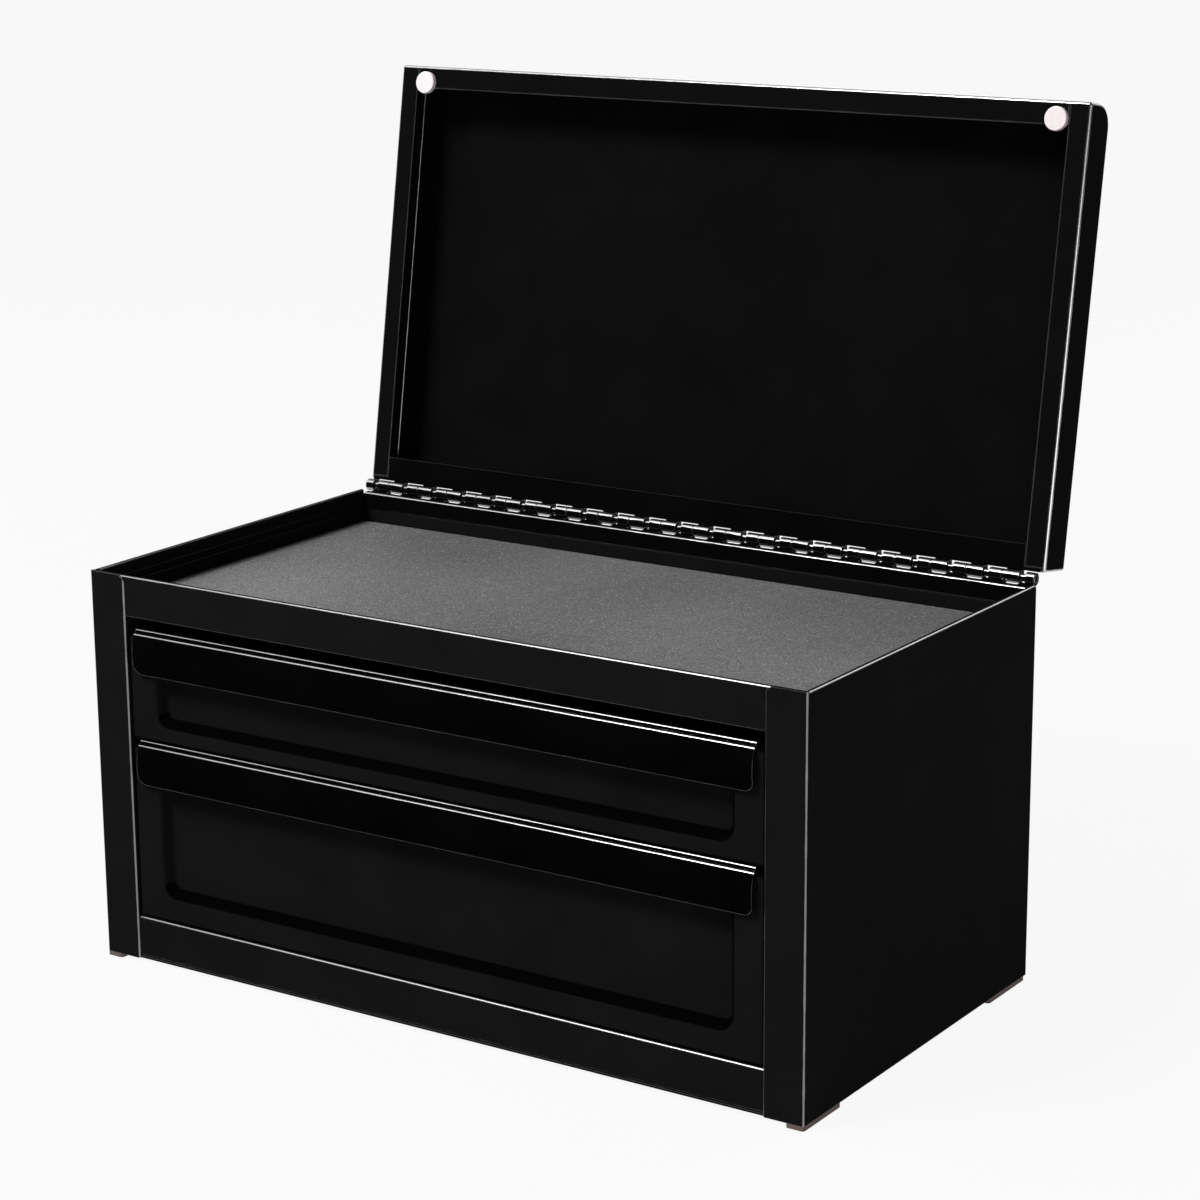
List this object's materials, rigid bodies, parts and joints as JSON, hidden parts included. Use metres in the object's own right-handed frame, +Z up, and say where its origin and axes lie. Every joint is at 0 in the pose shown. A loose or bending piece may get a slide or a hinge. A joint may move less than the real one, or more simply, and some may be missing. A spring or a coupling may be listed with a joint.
{
  "type": "mini tool box",
  "caption": "Small sheet-steel tool chest with a lidded top tray on a full-width hinge and drawers on friction slides, shown with the lid open.",
  "frame": {"origin": "on the surface that the box stands on, below the middle of the case", "axes": "+X to the right seen from the front, +Y to the back, +Z up; the lid rests open and the drawers shut"},
  "size_m": [0.278, 0.1953, 0.2913],
  "materials": {
    "body_paint": "gloss black powder coat",
    "hinge_paint": "high-gloss black",
    "liner_mat": "fine-grained dark grey mat",
    "pull_finish": "black anodised, satin",
    "slide_steel": "zinc plated",
    "magnet_plate": "pale nickel plate",
    "foot_pad": "matt dark brown-grey rubber"
  },
  "bodies": {
    "case": {"back_panel": "body_paint", "front_header": "body_paint", "bottom_rail": "body_paint", "base_pan": "body_paint", "tray_pan": "body_paint", "tray_liner": "liner_mat", "left_side_panel": "body_paint", "right_side_panel": "body_paint", "hinge_body_leaf": "hinge_paint", "hinge_pin": "hinge_paint", "front_left_foot": "foot_pad", "front_right_foot": "foot_pad", "rear_left_foot": "foot_pad", "rear_right_foot": "foot_pad", "upper_left_runner": "slide_steel", "upper_right_runner": "slide_steel", "lower_left_runner": "slide_steel", "lower_right_runner": "slide_steel"},
    "lid": {"lid_shell": "body_paint", "hinge_lid_leaf": "hinge_paint", "lid_magnet_left": "magnet_plate", "lid_magnet_right": "magnet_plate"},
    "upper_drawer": {"upper_drawer_front": "body_paint", "upper_drawer_pull": "pull_finish", "upper_drawer_box": "body_paint", "upper_drawer_liner": "liner_mat", "upper_left_rail": "slide_steel", "upper_right_rail": "slide_steel"},
    "lower_drawer": {"lower_drawer_front": "body_paint", "lower_drawer_pull": "pull_finish", "lower_drawer_box": "body_paint", "lower_drawer_liner": "liner_mat", "lower_left_rail": "slide_steel", "lower_right_rail": "slide_steel"}
  },
  "joints": [
    {"name": "lid_hinge", "type": "hinge", "parent": "case", "child": "lid", "pos_m": [0, 0.07893, 0.13795], "axis": [1, 0, 0], "range_deg": [0, 99.46]},
    {"name": "upper_drawer_slide", "type": "slide", "parent": "case", "child": "upper_drawer", "axis": [0, -1, 0], "range_m": [0, 0.1]},
    {"name": "lower_drawer_slide", "type": "slide", "parent": "case", "child": "lower_drawer", "axis": [0, -1, 0], "range_m": [0, 0.1]}
  ]
}
